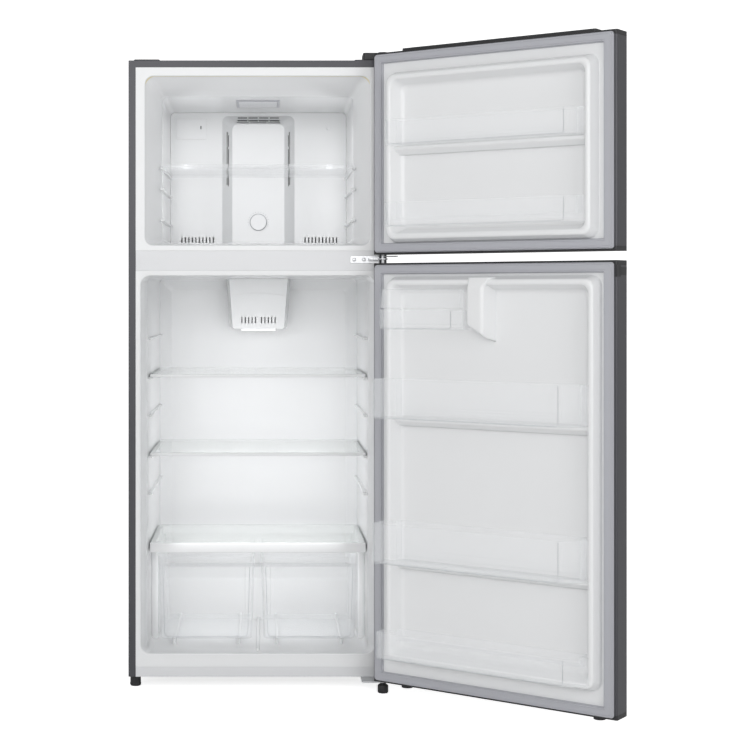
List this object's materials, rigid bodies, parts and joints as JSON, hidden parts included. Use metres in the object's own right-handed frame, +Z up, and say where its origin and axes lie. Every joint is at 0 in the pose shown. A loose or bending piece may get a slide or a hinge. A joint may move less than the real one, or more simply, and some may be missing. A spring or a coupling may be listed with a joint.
{
  "type": "top freezer refrigerator",
  "caption": "Two-door top freezer refrigerator, both doors hinged on the right, with door bins, glass shelves and crisper drawers.",
  "frame": {"origin": "on the floor, at the middle of the cabinet's footprint (width by depth, doors left out)", "axes": "+Z up, doors face -Y, +X to the right seen from the front"},
  "size_m": [1.258, 1.1326, 1.725],
  "materials": {
    "dark_steel": "satin dark grey coat",
    "galvanised": "zinc coated sheet",
    "foam": "rigid polyurethane foam",
    "white_plastic": "soft gloss",
    "white_steel": "satin white coat",
    "aluminium": "mill finish",
    "dark_plastic": "fine grain",
    "frosted_plastic": "frosted lens",
    "glass": "clear, polished edge",
    "clear_plastic": "clear polystyrene",
    "zinc": "zinc plate",
    "black_steel": "black enamel",
    "rubber_black": "matt",
    "gasket_grey": "soft matt"
  },
  "bodies": {
    "cabinet": {"cabinet_wrapper": "dark_steel", "back_panel": "galvanised", "base_pan": "galvanised", "cabinet_foam": "foam", "freezer_liner": "white_plastic", "fridge_liner": "white_plastic", "mullion_rail": "white_steel", "lower_front_rail": "white_steel", "freezer_rear_cover": "white_plastic", "freezer_duct_cover": "white_plastic", "sensor_cover": "white_plastic", "evaporator": "aluminium", "fan_motor": "dark_plastic", "air_outlet_housing": "white_plastic", "lamp_lens": "frosted_plastic", "crisper_cover_glass": "glass", "crisper_cover_trim": "white_plastic", "top_hinge": "dark_steel", "top_hinge_cover": "dark_plastic", "top_left_cap": "dark_plastic", "middle_hinge": "zinc", "bottom_hinge": "zinc", "hinge_screws": "zinc", "compressor": "black_steel", "compressor_mounts": "rubber_black", "condenser_coil": "black_steel", "drip_tray": "dark_plastic", "rear_compartment_cover": "galvanised", "power_inlet": "dark_plastic"},
    "freezer_door": {"freezer_door_panel": "dark_steel", "freezer_door_foam": "foam", "freezer_door_liner": "white_plastic", "freezer_door_gasket": "gasket_grey", "freezer_door_bottom_cap": "dark_plastic", "freezer_door_top_cap": "dark_plastic"},
    "fridge_door": {"fridge_door_panel": "dark_steel", "fridge_door_foam": "foam", "fridge_door_liner": "white_plastic", "fridge_door_gasket": "gasket_grey", "fridge_door_bottom_cap": "dark_plastic", "fridge_door_top_cap": "dark_plastic"},
    "fan": {"fan_blade": "dark_plastic"},
    "freezer_knob": {"freezer_knob": "white_plastic"},
    "freezer_shelf": {"freezer_shelf": "clear_plastic"},
    "upper_shelf": {"upper_shelf_glass": "glass", "upper_shelf_trim": "white_plastic"},
    "lower_shelf": {"lower_shelf_glass": "glass", "lower_shelf_trim": "white_plastic"},
    "crisper_left": {"crisper_left": "clear_plastic"},
    "crisper_right": {"crisper_right": "clear_plastic"},
    "freezer_bin_upper": {"freezer_bin_upper": "clear_plastic"},
    "freezer_bin_lower": {"freezer_bin_lower": "clear_plastic"},
    "fridge_bin_upper": {"fridge_bin_upper": "clear_plastic"},
    "fridge_bin_middle": {"fridge_bin_middle": "clear_plastic"},
    "fridge_bin_lower": {"fridge_bin_lower": "clear_plastic"},
    "dairy_bin": {"dairy_bin": "clear_plastic"},
    "dairy_lid": {"dairy_lid": "clear_plastic"},
    "foot_left": {"foot_left": "dark_plastic"},
    "foot_right": {"foot_right": "dark_plastic"},
    "rear_rollers": {"rear_rollers": "dark_plastic"}
  },
  "joints": [
    {"name": "freezer_door_swing", "type": "hinge", "parent": "cabinet", "child": "freezer_door", "pos_m": [0.337, -0.365, 1.445], "axis": [0, 0, 1], "range_deg": [-144, 0]},
    {"name": "fridge_door_swing", "type": "hinge", "parent": "cabinet", "child": "fridge_door", "pos_m": [0.337, -0.365, 0.594], "axis": [0, 0, 1], "range_deg": [-144, 0]},
    {"name": "fan_spin", "type": "hinge", "parent": "cabinet", "child": "fan", "pos_m": [0, 0.17, 1.53], "axis": [0, 1, 0], "continuous": true},
    {"name": "knob_turn", "type": "hinge", "parent": "cabinet", "child": "freezer_knob", "pos_m": [0, 0.14, 1.286], "axis": [0, 1, 0], "range_deg": [-75, 75]},
    {"name": "freezer_shelf_slide", "type": "slide", "parent": "cabinet", "child": "freezer_shelf", "axis": [0, -1, 0], "range_m": [0, 0.2]},
    {"name": "upper_shelf_slide", "type": "slide", "parent": "cabinet", "child": "upper_shelf", "axis": [0, -1, 0], "range_m": [0, 0.2]},
    {"name": "lower_shelf_slide", "type": "slide", "parent": "cabinet", "child": "lower_shelf", "axis": [0, -1, 0], "range_m": [0, 0.2]},
    {"name": "crisper_left_slide", "type": "slide", "parent": "cabinet", "child": "crisper_left", "axis": [0, -1, 0], "range_m": [0, 0.3]},
    {"name": "crisper_right_slide", "type": "slide", "parent": "cabinet", "child": "crisper_right", "axis": [0, -1, 0], "range_m": [0, 0.3]},
    {"name": "freezer_bin_upper_lift", "type": "slide", "parent": "freezer_door", "child": "freezer_bin_upper", "axis": [0, 0, 1], "range_m": [0, 0.03]},
    {"name": "freezer_bin_lower_lift", "type": "slide", "parent": "freezer_door", "child": "freezer_bin_lower", "axis": [0, 0, 1], "range_m": [0, 0.03]},
    {"name": "fridge_bin_upper_lift", "type": "slide", "parent": "fridge_door", "child": "fridge_bin_upper", "axis": [0, 0, 1], "range_m": [0, 0.03]},
    {"name": "fridge_bin_middle_lift", "type": "slide", "parent": "fridge_door", "child": "fridge_bin_middle", "axis": [0, 0, 1], "range_m": [0, 0.03]},
    {"name": "fridge_bin_lower_lift", "type": "slide", "parent": "fridge_door", "child": "fridge_bin_lower", "axis": [0, 0, 1], "range_m": [0, 0.03]},
    {"name": "dairy_bin_lift", "type": "slide", "parent": "fridge_door", "child": "dairy_bin", "axis": [0, 0, 1], "range_m": [0, 0.003]},
    {"name": "dairy_lid_lift", "type": "hinge", "parent": "fridge_door", "child": "dairy_lid", "pos_m": [0.43225, -0.51121, 1.084], "axis": [-0.809, 0.5878, 0], "range_deg": [0, 80]},
    {"name": "foot_left_turn", "type": "hinge", "parent": "cabinet", "child": "foot_left", "pos_m": [-0.334, -0.281, 0], "axis": [0, 0, 1], "range_deg": [-180, 180]},
    {"name": "foot_right_turn", "type": "hinge", "parent": "cabinet", "child": "foot_right", "pos_m": [0.337, -0.365, 0], "axis": [0, 0, 1], "range_deg": [-180, 180]},
    {"name": "roller_spin", "type": "hinge", "parent": "cabinet", "child": "rear_rollers", "pos_m": [0, 0.287, 0.015], "axis": [1, 0, 0], "continuous": true}
  ]
}
